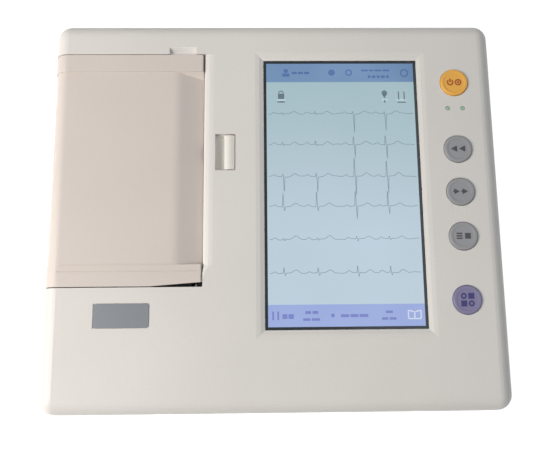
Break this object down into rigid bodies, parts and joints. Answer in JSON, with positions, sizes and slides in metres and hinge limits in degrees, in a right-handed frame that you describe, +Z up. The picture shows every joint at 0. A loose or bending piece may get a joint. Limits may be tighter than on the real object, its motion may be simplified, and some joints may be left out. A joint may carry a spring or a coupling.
{
  "type": "ecg machine",
  "caption": "Desktop ECG recorder with a wedge-shaped case, touch display, round keys, side-hinged paper door with latch, and an internal geared thermal printer.",
  "frame": {"origin": "centre of the case's footprint, on the surface the feet stand on", "axes": "+X to the right as the user faces it, +Y to the back, +Z up"},
  "size_m": [0.296, 0.258, 0.0783],
  "materials": {
    "case_plastic": "satin moulded, fine texture",
    "base_plastic": "satin moulded",
    "tray_plastic": "matt moulded",
    "dark_plastic": "matt moulded",
    "rubber_black": "matt",
    "steel": "plain",
    "brass": "plain",
    "gear_plastic": "black acetal",
    "heat_sink": "extruded",
    "ceramic": "glazed ceramic strip",
    "paper": "smooth thermal paper",
    "card": "card tube",
    "display_face": "glossy touch face over a lit screen",
    "lcd_body": "plain",
    "key_orange": "satin moulded",
    "key_grey": "satin moulded",
    "key_purple": "satin moulded",
    "key_rubber": "silicone",
    "circuit_board": "solder mask",
    "components": "mixed",
    "battery_wrap": "shrink wrap",
    "led_light": "clear moulded",
    "badge": "satin, bare",
    "socket_blue": "moulded"
  },
  "bodies": {
    "root": {"top_cover": "case_plastic", "bottom_cover": "base_plastic", "battery_bay": "base_plastic", "battery_cover": "base_plastic", "battery_cover_screws": "steel", "rubber_feet": "rubber_black", "case_screws": "steel", "door_hinge_pin": "steel", "idler_axle": "steel", "feed_motor": "steel", "printer_chassis": "steel", "head_pivot_pin": "steel", "head_springs": "steel", "tear_bar": "steel", "latch_guide": "steel", "paper_tray": "tray_plastic", "touch_panel": "display_face", "display_gasket": "rubber_black", "lcd_module": "lcd_body", "display_bracket": "steel", "display_screws": "steel", "key_mat": "key_rubber", "key_board": "circuit_board", "led_pipes": "led_light", "key_board_screws": "steel", "badge_plate": "badge", "main_board": "circuit_board", "board_chips": "dark_plastic", "power_board": "circuit_board", "power_components": "components", "battery_pack": "battery_wrap", "mains_inlet": "dark_plastic", "inlet_pins": "steel", "earth_stud": "brass", "patient_socket": "socket_blue", "usb_socket": "steel", "lan_socket": "steel", "speaker": "dark_plastic"},
    "door": {"door_panel": "case_plastic", "platen_bracket": "steel", "platen_bearings": "brass"},
    "platen": {"platen_roller": "rubber_black", "platen_shaft": "steel", "platen_gear": "gear_plastic"},
    "idler": {"idler_gear": "gear_plastic"},
    "motor_rotor": {"motor_pinion": "brass"},
    "head": {"print_head": "ceramic", "head_heat_sink": "heat_sink"},
    "roll": {"paper_roll": "paper", "roll_core": "card", "paper_spindle": "dark_plastic"},
    "latch": {"latch_slider": "case_plastic"},
    "power_button": {"power_key": "key_orange"},
    "rewind_button": {"rewind_key": "key_grey"},
    "advance_button": {"advance_key": "key_grey"},
    "select_button": {"select_key": "key_grey"},
    "start_button": {"start_key": "key_purple"}
  },
  "joints": [
    {"name": "door_swing", "type": "hinge", "parent": "root", "child": "door", "pos_m": [-0.145, 0.00139, 0.05206], "axis": [0, -0.9962, -0.0872], "range_deg": [0, 105]},
    {"name": "platen_spin", "type": "hinge", "parent": "door", "child": "platen", "pos_m": [-0.095, -0.04456, 0.05306], "axis": [1, 0, 0], "continuous": true},
    {"name": "idler_spin", "type": "hinge", "parent": "root", "child": "idler", "pos_m": [-0.0494, -0.04334, 0.03911], "axis": [1, 0, 0], "continuous": true},
    {"name": "motor_spin", "type": "hinge", "parent": "root", "child": "motor_rotor", "pos_m": [-0.0494, -0.03188, 0.04011], "axis": [1, 0, 0], "continuous": true},
    {"name": "head_rock", "type": "hinge", "parent": "root", "child": "head", "pos_m": [-0.095, -0.05238, 0.03631], "axis": [1, 0, 0], "range_deg": [0, 4], "stiffness_Nm_per_rad": 1.5, "springref_deg": -2.86, "deforming": ["head_springs"]},
    {"name": "roll_spin", "type": "hinge", "parent": "root", "child": "roll", "pos_m": [-0.095, 0.07205, 0.04176], "axis": [1, 0, 0], "continuous": true},
    {"name": "latch_slide", "type": "slide", "parent": "root", "child": "latch", "axis": [1, 0, 0], "range_m": [-0.0025, 0]},
    {"name": "power_press", "type": "slide", "parent": "root", "child": "power_button", "axis": [0, 0.0872, -0.9962], "range_m": [0, 0.0008], "stiffness_N_per_m": 900, "springref_m": -0.0006},
    {"name": "rewind_press", "type": "slide", "parent": "root", "child": "rewind_button", "axis": [0, 0.0872, -0.9962], "range_m": [0, 0.0008], "stiffness_N_per_m": 900, "springref_m": -0.0006},
    {"name": "advance_press", "type": "slide", "parent": "root", "child": "advance_button", "axis": [0, 0.0872, -0.9962], "range_m": [0, 0.0008], "stiffness_N_per_m": 900, "springref_m": -0.0006},
    {"name": "select_press", "type": "slide", "parent": "root", "child": "select_button", "axis": [0, 0.0872, -0.9962], "range_m": [0, 0.0008], "stiffness_N_per_m": 900, "springref_m": -0.0006},
    {"name": "start_press", "type": "slide", "parent": "root", "child": "start_button", "axis": [0, 0.0872, -0.9962], "range_m": [0, 0.0008], "stiffness_N_per_m": 900, "springref_m": -0.0006}
  ],
  "couplings": [
    {"joint": "idler_spin", "follows": "platen_spin", "ratio": -0.64706},
    {"joint": "motor_spin", "follows": "platen_spin", "ratio": 1.8333}
  ]
}
